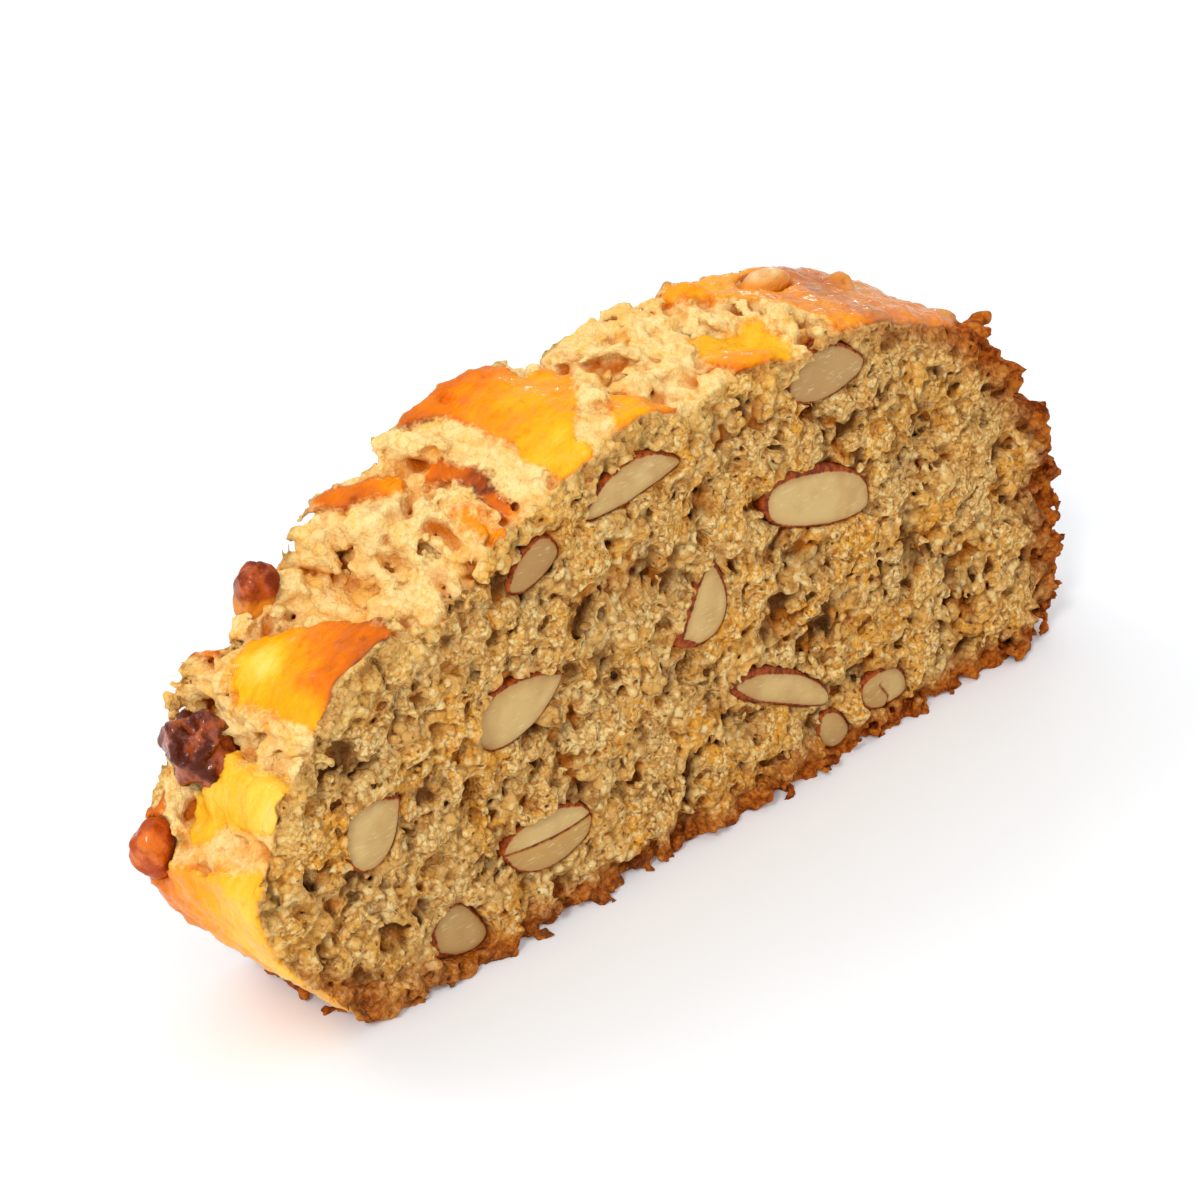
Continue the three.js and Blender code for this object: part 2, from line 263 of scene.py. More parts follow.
# glazed skin, as outlines in mm along the crust and across it from the near face; tones run from 0, pale,
# through 0.35, yellow, and 0.6, orange, to 1, dark brown
glazes = {
    "orangePlate": {
        "outline": [
            (61.4, 14.5), (63, 15.2), (70.1, 15.3), (72.5, 14.5), (72.5, 11), (78, 11.8), (74.9, 6.9),
            (73.1, 4.7), (70.7, 2.7), (70.7, 1.1), (70.1, -0.4), (66.2, -0.4), (65.4, 3.6), (65.9, 5.5),
            (65.5, 9.7), (64.5, 12), (62.6, 12.7), (61.2, 13.6),
        ],
        "tones": [
            (62, 14.2, 0.78), (66, 14.8, 0.66), (71, 14, 0.66), (67.5, 11, 0.52), (71, 8, 0.42),
            (68, 3, 0.36), (75, 10, 0.5), (70, 1, 0.38), (72.5, 5.5, 0.45),
        ],
    },
    "cornerPatch": {
        "outline": [
            (76.2, 5.7), (78.6, 5.2), (79.9, 2.2), (81.1, 1.8), (78, -0.4), (74.3, -0.4), (72.5, 0.6),
            (73.1, 1.8),
        ],
        "tones": [(78, 4.5, 0.5), (76, 1, 0.4), (80, 2, 0.55)],
    },
    "brownSpot": {
        "outline": [
            (60.9, 10.3), (61.4, 9.8), (63, 6.8), (63.5, 5.1), (62.4, 3.7), (62.4, 2.9), (61.9, 1.4),
            (60.9, 1.4), (60.4, 2.6), (60.4, 3.9), (61.4, 5.8), (60.4, 7.3), (59.9, 8.4), (59.9, 9.7),
        ],
        "tones": [(61, 9.4, 0.62), (62, 5.2, 0.9), (61.3, 3.4, 0.7), (61.3, 7.5, 0.78), (61.4, 1.8, 0.5)],
    },
    "lowPatch": {
        "outline": [
            (57.4, 4.3), (58.9, 3.7), (59.4, 1.6), (59.9, -0.3), (57.4, -0.3), (57.9, 2.1), (57.4, 3.2),
        ],
        "tones": [(58, 2, 0.5)],
    },
    "chunkStrip": {
        "outline": [
            (50.8, 15.8), (52.1, 15), (54.7, 14.6), (57.4, 12.9), (58.9, 12), (58.9, 10.6), (57.9, 9.6),
            (56.9, 9.9), (55.1, 11.1), (53.8, 11.8), (52.9, 12.7), (51.6, 14.3),
        ],
        "tones": [(52, 14.6, 0.72), (55, 12.8, 0.68), (58, 11, 0.55)],
    },
    "bigPlate": {
        "outline": [
            (39.4, 11.3), (40.5, 12.1), (41.9, 11), (43.4, 8.1), (45.2, 7.1), (47.2, 1.2), (46.8, -0.4),
            (43.7, -0.4), (36.6, -0.4), (36.2, 2.5), (35.9, 7.4), (34.9, 9.7), (36.9, 10.2),
        ],
        "tones": [
            (36.5, 8.5, 0.34), (38, 5, 0.42), (41, 5.5, 0.54), (44, 5, 0.64), (46, 1.5, 0.78),
            (41, 1, 0.66), (37, 1, 0.42), (41, 10.5, 0.46), (39, 8, 0.16), (43.5, 1, 0.76),
        ],
    },
    "endPlate": {
        "outline": [
            (28.2, 11.9), (32.3, 8.1), (32, 5.7), (32.6, -0.4), (27.9, -0.4), (25.9, 6.7), (23.6, 8.3),
            (23.2, 9.3), (23.9, 10.7), (25.6, 11.1),
        ],
        "tones": [(26, 9.5, 0.32), (30, 8, 0.26), (30, 3, 0.2), (29, 0.3, 0.12), (28, 5.5, 0.3)],
    },
    "lowPlate": {
        "outline": [
            (20.5, 15.9), (21.7, 11.1), (22.3, 9), (23.2, 5.5), (25.6, -0.4), (2.8, -0.4), (2.2, 4),
            (2.8, 9), (2.4, 15.9),
        ],
        "tones": [
            (19, 14, 0.7), (20, 9, 0.44), (20, 4, 0.24), (17, 1, 0.2), (12, 12, 0.66), (12, 7, 0.36),
            (12, 2, 0.18), (6, 12, 0.66), (6, 6, 0.34), (6, 1.5, 0.22), (2.8, 7, 0.5),
        ],
    },
    "overBump": {
        "outline": [(25.2, 15.9), (26.6, 14.4), (24.6, 13.2), (22.9, 15.2), (22.8, 15.9)],
        "tones": [(25, 14.6, 0.66)],
    },
    "backPlate": {
        "outline": [(36.2, 14.9), (38.3, 15.8), (39.7, 13.1), (38.3, 12.4), (37.2, 14.8)],
        "tones": [(38, 14, 0.62)],
    },
    "smallPlate": {
        "outline": [
            (87.8, 7.5), (92.5, 6.6), (95.1, 6.9), (95.6, 5.3), (95.6, 1.4), (93.6, -0.3), (87.2, -0.3),
            (87.2, 3.9), (87.2, 6.1),
        ],
        "tones": [(88, 5.5, 0.4), (92, 5, 0.36), (90, 1, 0.44), (88, 1, 0.6), (94, 3, 0.34)],
    },
    "longPlate": {
        "outline": [
            (91.9, 14.8), (96.1, 15.0), (103.6, 15.6), (110, 15.8), (121, 15.6), (125, 11), (124, 6),
            (119, 2), (116.4, 0.2), (108.3, 0.2), (101, 0.6), (100, 3.1), (100, 5.3), (99, 7.7),
            (95.1, 9.3), (93, 11.9), (91.4, 14.2),
        ],
        "tones": [
            (93, 14, 0.5), (98, 12, 0.42), (103, 11, 0.45), (104, 5, 0.5), (102, 2, 0.52),
            (107, 8, 0.82), (109, 11, 0.84), (106, 3, 0.8), (112, 6, 0.62), (115, 3, 0.66),
            (115, 11, 0.7), (121, 9, 0.72), (119, 4, 0.7),
        ],
    },
    "heelPlate": {  # on the end that the photo doesn't show
        "outline": [
            (129, 13.5), (134, 14.6), (143, 13), (150, 14), (156, 10), (154, 3), (146, 1.6), (137, 3),
            (130, 2.4), (127.6, 7),
        ],
        "tones": [(131, 8, 0.8), (138, 8, 0.74), (146, 8, 0.84), (153, 7, 0.9)],
    },
}

# holes and sunk places in the crust: mm along, mm across, radius, depth
hollows = [
    (51.2, 10.7, 1.3, 2.6), (54.7, 4.3, 0.9, 2.2), (48.4, 1.6, 1.5, 1.8), (35.9, 9.9, 0.9, 1.2),
    (33.9, 6.0, 1.0, 0.8), (66.4, 13.1, 0.7, 0.8), (64.6, 9.2, 0.6, 0.6), (79.8, 7.6, 1.4, 0.9),
    (83.2, 3.4, 1.3, 0.9), (77.4, 13.2, 1.2, 0.8), (96.4, 5.6, 0.9, 1.1), (97.6, 3.6, 0.9, 1.1),
    (99.4, 2.6, 0.8, 0.9), (30.0, 12.6, 1.4, 0.7), (44.8, 12.2, 1.6, 1.0), (126.5, 4.5, 1.5, 0.9),
    (127, 12, 1.6, 0.9), (158, 6, 1.8, 0.9),
]

# and lumps that stand up from it, with their height
mounds = [
    (43.6, 13.4, 2.6, 1.7), (46.4, 13.2, 2.8, 2.2), (41.6, 13.8, 1.8, 0.8), (111.6, 10.2, 1.5, 1.2),
    (94.1, 12.4, 1.8, 0.8), (58.4, 3.1, 1.5, 0.8), (1.2, 12.2, 1.6, 0.9), (0.9, 8.1, 1.3, 0.6),
    (1.2, 4.2, 1.4, 0.7), (0.8, 15.0, 1.5, 0.8), (49.4, 5.0, 1.9, 0.9), (52.4, 3.0, 1.6, 0.7),
    (54.0, 9.4, 1.6, 0.8), (88.5, 13.5, 2.2, 0.8), (119.5, 3.5, 1.8, 0.7),
]

# bare skin that isn't torn: mm along, mm across, and how far it reaches both ways
calmPlaces = [(71.4, 4.0, 3.0, 5.0), (64.6, 7.0, 1.9, 5.6), (24.6, 6.0, 1.4, 5.0), (76.5, 1.0, 2.5, 2.0)]

# torn places in the cut faces: x and z in the frame, radius, depth, mm
cavities = {
    "near": [
        (30.8, 29.6, 1.9, 1.2), (28.9, 28.6, 1.5, 1.3), (25.1, 29.6, 0.8, 1.2), (21.9, 24.4, 1.3, 1.8),
        (16.7, 21.0, 1.2, 1.2), (15.3, 33.8, 0.9, 1.0), (12.4, 37.6, 0.9, 0.8), (34.8, 16.7, 0.9, 1.2),
        (27.7, 33.1, 0.8, 0.8), (3.1, 35.8, 1.1, 0.9), (-0.5, 35.5, 1.1, 0.8), (10.3, 23.9, 0.9, 0.7),
        (19.2, 19.4, 0.9, 0.7), (37.0, 31.0, 1.0, 0.9), (36.2, 21.0, 0.7, 0.8), (33.1, 4.8, 1.1, 1.0),
        (4.6, 23.5, 0.8, 0.8), (-0.4, 30.1, 1.2, 1.4), (-16.4, 23.6, 1.5, 1.7), (-29.8, 22.0, 1.3, 1.8),
        (-28.6, 17.4, 1.8, 1.9), (-32.2, 12.2, 1.4, 2.1), (-27.7, 34.1, 1.5, 1.8),
        (-1.9, 18.4, 1.7, 1.8), (-20.2, 16.2, 1.4, 1.1), (-11.2, 20.7, 1.4, 1.0),
        (-5.8, 23.6, 1.3, 1.5), (0.6, 13.7, 1.1, 0.9), (-13.9, 19.4, 1.1, 0.9), (-34.1, 29.9, 0.9, 0.9),
        (-23.1, 31.3, 0.9, 0.9), (-20.2, 30.0, 0.9, 0.9), (-16.2, 30.1, 0.8, 0.7),
        (-8.5, 15.1, 1.0, 1.0), (7.4, 4.5, 0.9, 0.9), (-0.2, 5.9, 1.0, 1.2), (-2.4, 2.6, 1.0, 1.2),
        (-42.6, 22.9, 1.1, 1.9), (-43.0, 20.6, 0.8, 1.7), (-41.2, 12.9, 1.1, 1.3),
        (-25.8, 9.3, 0.9, 1.8), (-36.9, 4.3, 0.9, 1.4), (-42.9, 10.9, 0.8, 1.2),
        (-28.0, 15.2, 1.1, 1.2), (-36.4, 12.4, 0.9, 1.0), (-22.6, 3.9, 0.7, 1.3),
        (16.6, 20.8, 0.8, 1.2), (46.0, 7.5, 0.9, 1.4), (29.3, 3.3, 1.1, 1.6), (47.5, 4.3, 1.1, 1.2),
        (8.0, 9.1, 0.8, 0.9), (24.5, 9.5, 0.7, 0.8), (6.2, 14.9, 1.0, 1.0),
    ],
}
# the far face is not seen, so its places are thrown at random: lowest and highest x, z, radius, depth
farCavities = {"seed": 7, "count": 60, "reach": ((-44, 46), (3, 36), (0.7, 1.7), (0.8, 1.9))}
dice = np.random.default_rng(farCavities["seed"])
cavities["far"] = list(zip(*(dice.uniform(*reach, farCavities["count"]) for reach in farCavities["reach"])))


def curvePoints(points, steps):
    # the same rounded line through the points as the solid's outline
    made = []
    for i in range(len(points) - 1):
        a, b, c, d = (np.array(points[max(0, min(len(points) - 1, i + k))], float) for k in (-1, 0, 1, 2))
        for t in np.arange(steps) / steps:
            slopeB = (c - a) / 2
            slopeC = (d - b) / 2
            cubic = (2 * b - 2 * c + slopeB + slopeC) * t**3
            square = (3 * c - 3 * b - 2 * slopeB - slopeC) * t**2
            made.append(cubic + square + slopeB * t + b)
    made.append(np.array(points[-1], float))
    return np.array(made)


crustLine = curvePoints(loaf["crust"], 16)
baseLine = np.array([(loaf["base"] * (1 - t), 0.0) for t in np.arange(1, 41) / 40])
ringLine = np.vstack([crustLine, baseLine])
ringAlong = np.r_[0, np.cumsum(np.linalg.norm(np.diff(ringLine, axis=0), axis=1))]
crustLength = ringAlong[len(crustLine) - 1]
print("crust", round(float(crustLength), 1), "mm, round", round(float(ringAlong[-1]), 1), "mm")


def ringPlace(points):
    # mm round the loaf's outline, and mm from it, for points of x and z in mm
    start, end = ringLine[:-1], ringLine[1:]
    way = end - start
    length = (way**2).sum(1)
    along = np.empty(len(points))
    away = np.empty(len(points))
    batch = 4000  # points at a time, to spare memory
    for first in range(0, len(points), batch):
        some = points[first:first + batch, None, :]
        share = np.clip(((some - start) * way).sum(2) / length, 0, 1)
        gap = ((start + share[..., None] * way - some)**2).sum(2)
        best = gap.argmin(1)
        rows = np.arange(len(best))
        along[first:first + batch] = ringAlong[best] + share[rows, best] * np.sqrt(length[best])
        away[first:first + batch] = np.sqrt(gap[rows, best])
    return along, away


def insideDistance(points, outline):
    # mm inside a closed outline, negative outside it
    corners = np.array(outline, float)
    start, end = corners, np.roll(corners, -1, axis=0)
    way = end - start
    share = np.clip(((points[:, None] - start) * way).sum(2) / (way**2).sum(1), 0, 1)
    away = np.sqrt(((start + share[..., None] * way - points[:, None])**2).sum(2).min(1))
    above = (start[:, 1] > points[:, None, 1]) != (end[:, 1] > points[:, None, 1])
    rise = np.where(way[:, 1] == 0, 1e-9, way[:, 1])
    crossing = start[:, 0] + (points[:, None, 1] - start[:, 1]) / rise * way[:, 0]
    inside = (above & (points[:, None, 0] < crossing)).sum(1) % 2 == 1
    return np.where(inside, away, -away)


def ease(values, low, high):
    share = np.clip((values - low) / (high - low), 0, 1)
    return share * share * (3 - 2 * share)


def meshArray(mesh, name="co"):
    values = np.empty(len(mesh.vertices) * 3, np.float32)
    if name == "normal":
        mesh.vertex_normals.foreach_get("vector", values)
    else:
        mesh.vertices.foreach_get(name, values)
    return values.reshape(-1, 3).astype(float)


def setPlaces(mesh, place):
    mesh.vertices.foreach_set("co", (place * mm).astype(np.float32).ravel())
    mesh.update()


def storeVectors(mesh, name, columns):
    layer = mesh.attributes.new(name, "FLOAT_VECTOR", "POINT")
    layer.data.foreach_set("vector", np.column_stack(columns).astype(np.float32).ravel())


def wobble(points, size, amount, seed):
    # a smooth random shift of each point, mm
    start = Vector((seed * 17.3, seed * 5.1, seed * 9.7))
    return np.array([noise.noise_vector(Vector(p) / size + start) for p in points]) * amount


def inScene(name, mesh):
    made = bpy.data.objects.new(name, mesh)
    scene.collection.objects.link(made)
    return made


def finished(helper, name):
    # the helper's mesh with its modifiers applied, as an object of its own
    graphNow = bpy.context.evaluated_depsgraph_get()
    mesh = bpy.data.meshes.new_from_object(helper.evaluated_get(graphNow))
    mesh.name = name
    old = helper.data
    bpy.data.objects.remove(helper)
    if old.users == 0:
        bpy.data.meshes.remove(old)
    return mesh


def evened(helper, name, voxel, rounds=0):
    # the helper's mesh as one skin of even faces, relaxed a few times
    remesh = helper.modifiers.new("even", "REMESH")
    remesh.mode = "VOXEL"
    remesh.voxel_size = voxel * mm
    if rounds:
        relax = helper.modifiers.new("relax", "SMOOTH")
        relax.factor = 0.5
        relax.iterations = rounds
    return finished(helper, name)


def mergedCopy(nodeName):
    # a CAD node's mesh as one closed skin
    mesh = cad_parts[nodeName].data.copy()
    mesh.materials.clear()
    skin = bmesh.new()
    skin.from_mesh(mesh)
    bmesh.ops.remove_doubles(skin, verts=skin.verts[:], dist=2e-6)
    skin.to_mesh(mesh)
    skin.free()
    return mesh


formSettings = {
    "voxel": 0.4,
    "smoothing": 10,
    "plateLift": 0.12,  # mm that glazed skin stands up
    "plateEdge": 0.45,  # mm over which a plate's edge drops
    "ragged": 0.55,  # mm that a plate's edge wanders
    "plugGrowth": 0.6,  # mm that the plugs for the almonds' pockets are grown
    "plugSide": 7.55,  # mm from the slice's middle plane, where they end
    "cavityShare": 1.25,  # of the listed depth, because smoothing takes some away
    "faceStart": 6.5,  # mm from the middle plane, between which a cut face begins
    "faceFull": 7.1,
    "calming": 0.85,
}


def makeForm():
    # grown copies of the almonds fill the solid's pockets, because the crumb below closes on the nuts
    whole = bmesh.new()
    whole.from_mesh(mergedCopy("biscuit"))
    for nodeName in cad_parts:
        if nodeName.startswith("almond_near") or nodeName.startswith("almond_far"):
            plug = mergedCopy(nodeName)
            middle = sum((Vector(v.co) for v in plug.vertices), Vector()) / len(plug.vertices)
            radius = max(Vector(v.co - middle).length for v in plug.vertices)
            reach = 1 + formSettings["plugGrowth"] * mm / radius * 2
            for vert in plug.vertices:
                grown = middle + (vert.co - middle) * reach
                side = formSettings["plugSide"] * mm
                vert.co = (grown.x, max(min(grown.y, side), -side), grown.z)
            whole.from_mesh(plug)
    mesh = bpy.data.meshes.new("formHelper")
    whole.to_mesh(mesh)
    whole.free()
    mesh = evened(inScene("formHelper", mesh), "form", formSettings["voxel"], formSettings["smoothing"])
    place = meshArray(mesh) / mm
    normal = meshArray(mesh, "normal")
    along, across, rim, cut = crustMap(place, normal)
    glaze, tone = glazeMap(place, along, across)
    lift = formSettings["plateLift"] * ease(glaze, -0.1, formSettings["plateEdge"])
    for s, y, radius, depth in hollows:
        away = np.hypot(along - s, across - y) / radius
        lift -= depth * (1 - ease(away, 0.2, 1.25))
    for s, y, radius, height in mounds:
        away = np.hypot(along - s, across - y) / radius
        lift += height * (1 - ease(away, 0.2, 1.25))
    lift *= 1 - cut
    torn = place + wobble(place, 1.3, 0.9, 3)
    for side, outward in (("near", -1), ("far", 1)):
        facing = cut * (normal[:, 1] * outward > 0)
        for x, z, radius, depth in cavities[side]:
            away = np.hypot(torn[:, 0] - x, torn[:, 2] - z) / radius
            lift -= formSettings["cavityShare"] * depth * (1 - ease(away, 0.45, 1.2)) * facing
    place += normal * lift[:, None]
    setPlaces(mesh, place)
    storeMaps(mesh, place, along, across, rim, cut, glaze, tone)
    return inScene("formHelper", mesh)


def crustMap(place, normal):
    flat = place[:, [0, 2]] - (loaf["shift"][0], 0)
    along, rim = ringPlace(flat)
    across = place[:, 1] - loaf["shift"][1]
    atFace = ease(np.abs(place[:, 1]), formSettings["faceStart"], formSettings["faceFull"])
    cut = ease(np.abs(normal[:, 1]), 0.55, 0.85) * np.maximum(ease(rim, 0.1, 0.7), atFace)
    cut = np.maximum(cut, ease(rim, 0.9, 1.5) * atFace)
    return along, across, rim, cut


def glazeMap(place, along, across):
    shift = wobble(place, 2.2, formSettings["ragged"], 1) + wobble(place, 0.8, formSettings["ragged"] / 2, 2)
    flat = np.column_stack([along, across]) + shift[:, :2]
    glaze = np.full(len(place), -9.0)
    tone = np.zeros(len(place))
    for settings in glazes.values():
        corners = np.array(settings["outline"])
        low, high = corners.min(0) - 4, corners.max(0) + 4
        close = np.where(((flat > low) & (flat < high)).all(1))[0]
        inside = insideDistance(flat[close], settings["outline"])
        spots = np.array(settings["tones"])
        weight = 1 / (((flat[close][:, None] - spots[:, :2])**2).sum(2) + 0.6)**1.5
        here = (weight * spots[:, 2]).sum(1) / weight.sum(1)
        better = inside > glaze[close]
        glaze[close[better]] = inside[better]
        tone[close[better]] = here[better]
    return glaze, tone


def storeMaps(mesh, place, along, across, rim, cut, glaze, tone):
    band = np.interp(along, *np.array(loaf["brownBand"]).T)
    depth = np.interp(along, *np.array(loaf["brownDepth"]).T)
    plate = ease(glaze, -0.1, 0.5)
    inner = rim + wobble(place, 2.5, 1.2, 5)[:, 0]
    burnt = (1 - ease(inner / band, 0.3, 1.1)) * ease(band, 1.6, 3.4) * cut
    calm = np.zeros(len(place))
    for s, y, reachAlong, reachAcross in calmPlaces:
        away = np.hypot((along - s) / reachAlong, (across - y) / reachAcross)
        calm = np.maximum(calm, 1 - ease(away, 0.7, 1.2))
    craggy = (1 - plate) * (1 - cut) * (1 - formSettings["calming"] * calm)
    # one vector holds the direction and, in its length, how craggy or burnt the dough is
    storeVectors(mesh, "facing", (meshArray(mesh, "normal") * (1 + craggy + burnt)[:, None]).T)
    storeVectors(mesh, "site", (rim, band, cut))
    storeVectors(mesh, "finish", (glaze, tone, depth))


formObject = makeForm()
print("form:", len(formObject.data.vertices), "vertices")


almonds = {
    "voxel": 0.2,
    "carverVoxel": 0.3,  # of the room that the crumb leaves
    "skin": 0.26,  # mm of brown skin round a cut face
    "crown": 0.1,  # mm that a cut face bulges
    "below": 0.6,  # mm that it lies inside its solid's
    "room": 4,  # mm that the crumb leaves free in front of a cut face
    "near": {  # outlines of the cut nuts on the near face, mm of x and z in the frame
        "01": [
            (-15.0, 37.6), (-14.5, 38.5), (-13.6, 39.5), (-12.5, 40.3), (-10.9, 40.9), (-9.3, 41.2),
            (-7.2, 41.0), (-5.5, 40.4), (-3.6, 39.2), (-3.4, 38.5), (-4.4, 38.1), (-6.1, 37.7),
            (-7.9, 37.4), (-9.9, 37.1), (-11.9, 37.0), (-14.0, 37.1),
        ],
        "02": [
            (7.1, 30.2), (7.2, 31.5), (8.1, 32.3), (10.0, 32.5), (12.4, 32.2), (15.8, 31.3),
            (18.8, 29.8), (20.8, 28.0), (21.4, 26.4), (21.2, 25.2), (19.7, 24.7), (16.9, 25.0),
            (14.1, 25.7), (11.0, 26.8), (9.0, 27.8), (7.8, 28.9),
        ],
        "03": [
            (-28.0, 23.2), (-27.4, 24.4), (-26.1, 25.4), (-24.1, 25.9), (-21.8, 25.8), (-19.6, 25.3),
            (-17.7, 24.5), (-17.5, 23.8), (-18.2, 22.8), (-19.2, 21.8), (-20.5, 20.9), (-22.2, 20.3),
            (-24.0, 20.0), (-25.9, 20.3), (-27.2, 21.2), (-27.8, 22.2),
        ],
        "04": [
            (-24.7, 9.8), (-24.5, 10.5), (-23.8, 11.0), (-22.5, 11.5), (-20.8, 11.7), (-18.8, 11.7),
            (-17.0, 11.2), (-15.3, 10.5), (-14.2, 9.4), (-13.9, 8.4), (-14.4, 7.0), (-15.7, 6.3),
            (-17.5, 5.8), (-19.5, 5.8), (-21.4, 6.3), (-23.1, 7.3), (-24.4, 8.9),
        ],
        "05": [
            (-42.1, 20.0), (-41.7, 21.1), (-40.9, 21.7), (-39.8, 22.0), (-38.3, 21.7), (-36.9, 21.1),
            (-36.0, 20.7), (-36.0, 19.4), (-36.3, 17.9), (-36.8, 16.6), (-37.7, 15.6), (-38.9, 15.1),
            (-40.2, 15.3), (-41.1, 16.0), (-41.8, 17.1), (-42.2, 18.4),
        ],
        "06": [
            (0.8, 27.7), (2.1, 25.8), (2.8, 23.4), (2.6, 21.5), (1.4, 20.2), (-0.8, 19.8), (-2.5, 20.3),
            (-3.7, 21.1), (-3.3, 22.7), (-2.5, 24.1), (-1.6, 25.8), (-0.5, 27.2),
        ],
        "07": [
            (2.9, 13.8), (3.9, 14.5), (5.7, 14.6), (7.9, 14.2), (10.4, 13.0), (12.7, 11.6), (14.9, 9.9),
            (16.4, 8.4), (17.0, 7.1), (16.3, 6.5), (14.4, 7.1), (11.9, 8.3), (9.3, 9.6), (6.5, 11.0),
            (4.3, 12.3),
        ],
        "08": [
            (21.2, 5.5), (21.6, 6.6), (23.2, 7.1), (25.0, 7.0), (26.7, 6.4), (27.8, 4.8), (28.1, 3.4),
            (27.3, 2.8), (26.0, 2.7), (24.4, 2.6), (22.8, 3.2), (21.6, 4.3),
        ],
        "09": [
            (15.5, 4.4), (15.8, 5.5), (17.0, 5.7), (18.5, 4.9), (19.6, 3.5), (19.9, 2.3), (19.0, 1.4),
            (17.6, 1.3), (16.3, 2.1), (15.6, 3.2),
        ],
        "10": [
            (10.0, 40.2), (10.3, 41.3), (11.5, 42.3), (13.0, 43.0), (14.9, 43.2), (17.2, 42.4),
            (19.3, 40.9), (20.1, 40.0), (19.7, 38.9), (18.2, 38.3), (16.3, 37.9), (14.0, 37.9),
            (11.6, 38.6), (10.2, 39.5),
        ],
        "11": [
            (-23.4, 34.1), (-23.0, 35.5), (-22.2, 36.7), (-20.9, 37.5), (-19.6, 37.9), (-18.3, 37.2),
            (-17.5, 35.9), (-17.8, 35.0), (-19.0, 34.1), (-20.6, 33.5), (-22.1, 33.4),
        ],
        "12": [
            (-33.0, 5.5), (-32.5, 6.5), (-31.6, 7.2), (-30.3, 7.3), (-28.6, 6.6), (-27.0, 4.5),
            (-26.1, 2.8), (-26.6, 1.7), (-28.3, 1.4), (-30.5, 2.0), (-32.1, 2.6), (-32.7, 4.0),
        ],
    },
    # mm that the skin gains at the top, and at the left
    "upperSkin": {"01": 0.1, "02": 0.5, "06": 0.2, "07": 0.55, "08": 0.2},
    "leftSkin": {"06": 0.6, "05": 0.05, "12": 0.5},
    "split": {"04": [(-24.5, 9.4), (-21.7, 9.0), (-18.8, 8.7), (-16.6, 8.7), (-14.2, 8.9)],
              "08": [(24.0, 5.4), (24.6, 4.6), (25.4, 3.6), (25.2, 2.4)]},
    "sunk": {"12": 0.5, "11": 0.3, "10": 0.1},  # mm that a face lies deeper
    "shade": {"10": 0.75, "11": 0.9, "09": 0.5, "12": 0.6, "08": 0.25},  # how brown and glassy a kernel is
    "far": [  # middle of x and z in the frame, length, width, turn, and how much narrower one end is
        (33.1, 25.5, 12.2, 5.6, 24, 0.3), (20.6, 11.0, 13.4, 4.8, -12, 0.15),
        (16.4, 33.5, 9.2, 5.4, 70, 0.3), (2.1, 20.5, 11.0, 6.0, 12, 0.2),
        (-4.9, 36.5, 12.6, 4.4, -16, 0.25), (-10.9, 8.0, 10.4, 5.2, 38, 0.1),
        (-20.4, 27.0, 9.4, 4.6, -52, 0.35), (-32.4, 13.5, 11.6, 5.6, 8, 0.2),
        (40.1, 8.5, 7.4, 4.6, 60, 0.1),
    ],
    # the nut's section from its cut face inwards: share of its depth, share of its outline
    "section": [(0.0, 1.0), (0.1, 1.0), (0.3, 0.98), (0.5, 0.9), (0.7, 0.75), (0.87, 0.52), (0.97, 0.26)],
}


def farOutline(x, z, length, width, turn, point):
    # seen from behind, x runs the other way, so the turn is mirrored
    made = []
    for angle in np.radians(np.arange(0, 360, 24)):
        along = math.cos(angle)
        across = math.sin(angle) * (1 - point * along) * (0.72 + 0.28 * abs(math.sin(angle)))
        made.append((-along * length / 2, across * width / 2))
    made = np.array(made)
    c, s = math.cos(math.radians(-turn)), math.sin(math.radians(-turn))
    return np.column_stack([made[:, 0] * c - made[:, 1] * s + x, made[:, 0] * s + made[:, 1] * c + z])


def closedCurve(points, steps):
    ring = [tuple(p) for p in points]
    line = curvePoints(ring[-1:] + ring + ring[:2], steps)
    return line[steps:-1 - steps]


